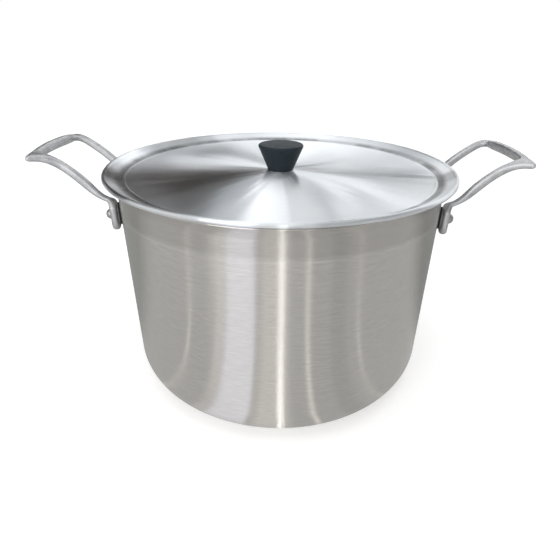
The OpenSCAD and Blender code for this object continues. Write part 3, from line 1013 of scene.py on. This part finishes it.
def add_wall_reflections():
    """Greys of the floor and the front that the wall mirrors, and its upright bands and lines."""
    add_mat("mat", (-180, 180), 2500, (0.56, 0.558, 0.555), soft=(0.001, 0.4))
    add_mat("mat_left", (-160, -80), 1600, (0.38, 0.39, 0.38), soft=(0.3, 0.4))
    add_mat("mat_right", (84, 164), 1600, (0.28, 0.285, 0.28), soft=(0.3, 0.4))
    add_card("card_front_left", (-105, -14), (-3, 58), (0.84, 0.84, 0.83), soft=(0.06, 0.1))
    add_card("card_front_right", (14, 105), (-3, 58), (0.30, 0.30, 0.30), soft=(0.06, 0.1))
    add_wall_card("wall_band", (-17.3, -6.2), (0.95, 0.96, 1.03), soft=(0.13, 0.1))
    add_wall_card("wall_band_side", (-20.5, -15.5), (0.72, 0.71, 0.70), soft=(0.4, 0.1))
    add_wall_card("wall_glow", (-7, 4.5), (0.80, 0.79, 0.77), soft=(0.3, 0.1))
    add_wall_card("wall_line", (-0.4, 2.0), (2.9, 2.9, 2.84), soft=(0.4, 0.1), distance=FRONT_DISTANCE)
    add_wall_card("wall_line_right", (7.9, 9.9), (1.0, 0.98, 0.95), soft=(0.4, 0.1))
    add_wall_card("wall_line_left", (-29.5, -28), (0.9, 0.88, 0.85), soft=(0.4, 0.1))
    add_wall_card("wall_dim_right", (15, 22), (0.50, 0.50, 0.49), soft=(0.3, 0.1))
    add_wall_card("wall_line_far_right", (24.5, 26.5), (0.75, 0.74, 0.72), soft=(0.4, 0.1))


def add_lid_reflections():
    """Dark, grey and light sectors of the lid."""
    add_card("card_low", (172, 260), (-3, 15.5), (0.07, 0.06, 0.055), soft=(0.04, 0.06))
    add_card("card_left", (189, 262), (10, 27), (0.06, 0.05, 0.045), soft=(0.03, 0.06))
    add_fan_card("fan_dark", (203, 238), (-0.9, -0.12), 75, DARK_SHADE, soft=(0.03, 0.05))
    add_fan_card("fan_grey", (238, 256), LID_TILTS, 95, (0.60, 0.62, 0.64), soft=(0.05, 0.05))
    add_fan_card("fan_line_a", (274, 278), LID_TILTS, 95, (0.85, 0.87, 0.89), soft=(0.3, 0.05))
    add_fan_card("fan_line_b", (291, 296), LID_TILTS, 95, (0.78, 0.81, 0.84), soft=(0.3, 0.05))
    add_fan_card("fan_line_c", (306, 319), LID_TILTS, 95, (0.68, 0.71, 0.74), soft=(0.3, 0.05))
    add_fan_card(
        "fan_light", (249, 334), (-0.48, -0.02), 95, (1.85, 1.85, 1.85),
        soft=(0.1, 0.05), distance=REAR_DISTANCE,
    )
    add_fan_card("fan_streak", (340, 358), (-0.40, -0.06), 50, (0.03, 0.04, 0.05), soft=(0.15, 0.1))
    add_fan_card("fan_light_left", (151, 177), LID_TILTS, 108, (1.3, 1.3, 1.3), soft=(0.15, 0.05))
    add_fan_card(
        "fan_shade_back", (116, 156), (-0.02, 0.85), 120, (0.05, 0.05, 0.05),
        soft=(0.15, 0.15), distance=FRONT_DISTANCE,
    )
    add_card("card_far_right", (154, 175), (-8, 5), (0.28, 0.30, 0.32), soft=(0.25, 0.3))
    add_card("card_high_right", (142, 172), (32, 60), (0.36, 0.37, 0.38), soft=(0.2, 0.2))
    add_fan_card("fan_dark_inner", (194, 235), LID_TILTS, 42, DARK_SHADE, soft=(0.1, 0.05))
    add_fan_card("fan_dark_outer", (206, 233), LID_TILTS, 125, DARK_SHADE, soft=(0.12, 0.05))
    add_fan_card("fan_streak_outer", (345, 355), LID_TILTS, 100, (0.05, 0.06, 0.07), soft=(0.25, 0.05))


def add_stage():
    add_world()
    add_floor()
    add_wall_reflections()
    add_lid_reflections()
    add_softbox("softbox_left", -30, 20, width=1.14, height=1.9, radiance=1.8, mirrored=True)
    add_softbox("softbox_above", 180, 90, width=2.3, height=2.3, radiance=1.3, mirrored=False)


def dress_node(node, material):
    """A better material on a model part whose shape is right."""
    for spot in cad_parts[node].material_slots:
        spot.material = material


def main():
    add_camera()
    add_pot(wall_metal())
    add_lid(lid_metal())
    add_knob(black_phenolic())
    cast, rivet = cast_metal(), rivet_metal()
    for name, mirror in (("right_handle", False), ("left_handle", True)):
        handle = add_handle(name + "_casting", mirror, cast)
        roughen(handle.data)
        add_rivets(name + "_rivets", mirror, rivet)
    dress_node("knob_insert", small_metal("brass", (0.62, 0.46, 0.20), (0.75, 0.58, 0.28), (0.25, 0.4)))
    plated = small_metal("plated_steel", (0.50, 0.50, 0.50), (0.66, 0.66, 0.67), (0.22, 0.38))
    dress_node("knob_screw", plated)
    dress_node("knob_washer", plated)
    add_stage()
    bpy.context.scene.view_settings.view_transform = "Standard"


main()
